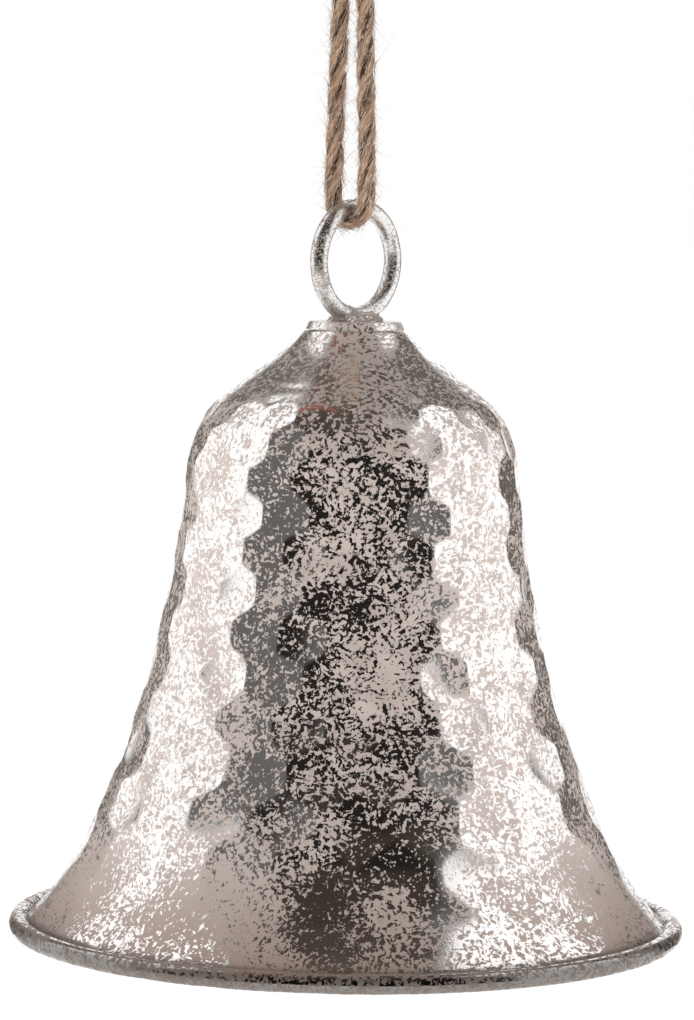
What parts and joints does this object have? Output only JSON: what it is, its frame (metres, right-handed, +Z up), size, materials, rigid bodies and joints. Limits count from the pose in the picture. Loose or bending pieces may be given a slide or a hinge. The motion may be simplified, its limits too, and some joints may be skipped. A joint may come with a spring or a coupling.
{
  "type": "christmas bell ornament",
  "caption": "Hammered silver-leafed metal bell with a rolled rim, welded hanging ring and free clapper, hung from a knotted loop of jute twine.",
  "frame": {"origin": "the hanging point, just under the knot in the twine, where a hook or nail goes", "axes": "+Z up along the bell's axis, +X along the plane of the hanging ring, -Y front; the bell's axis stands 1.9 mm towards +X, because the twine lies beside the ring's top"},
  "size_m": [0.12, 0.12, 0.2139],
  "materials": {
    "leafed_sheet": "flaked silver leaf over a taupe ground, bright and matte in patches",
    "leafed_cap": "silver leaf, worn and finely scratched",
    "leafed_wire": "rough silver leaf",
    "weld_metal": "matte, pitted",
    "iron_wire": "drawn wire, dull",
    "cast_ball": "as cast",
    "jute": "plied natural fibre, hairy"
  },
  "bodies": {
    "twine": {"twine_loop": "jute", "twine_knot": "jute", "twine_tails": "jute"},
    "bell": {"bell_shell": "leafed_sheet", "rim_wire": "iron_wire", "crown_cap": "leafed_cap", "hanging_ring": "leafed_wire", "ring_weld": "weld_metal", "clapper_eye": "iron_wire"},
    "link": {"clapper_link": "iron_wire"},
    "clapper": {"clapper_rod": "iron_wire", "clapper_ball": "cast_ball"}
  },
  "joints": [
    {"name": "bell_swing", "type": "hinge", "parent": "twine", "child": "bell", "pos_m": [0, 0, -0.0611], "axis": [1, 0, 0], "range_deg": [-60, 60]},
    {"name": "link_swing", "type": "hinge", "parent": "bell", "child": "link", "pos_m": [0.0019, 0, -0.09231], "axis": [0, 1, 0], "range_deg": [-6, 6]},
    {"name": "clapper_swing", "type": "hinge", "parent": "link", "child": "clapper", "pos_m": [0.0019, 0, -0.09906], "axis": [1, 0, 0], "range_deg": [-24, 24]}
  ]
}
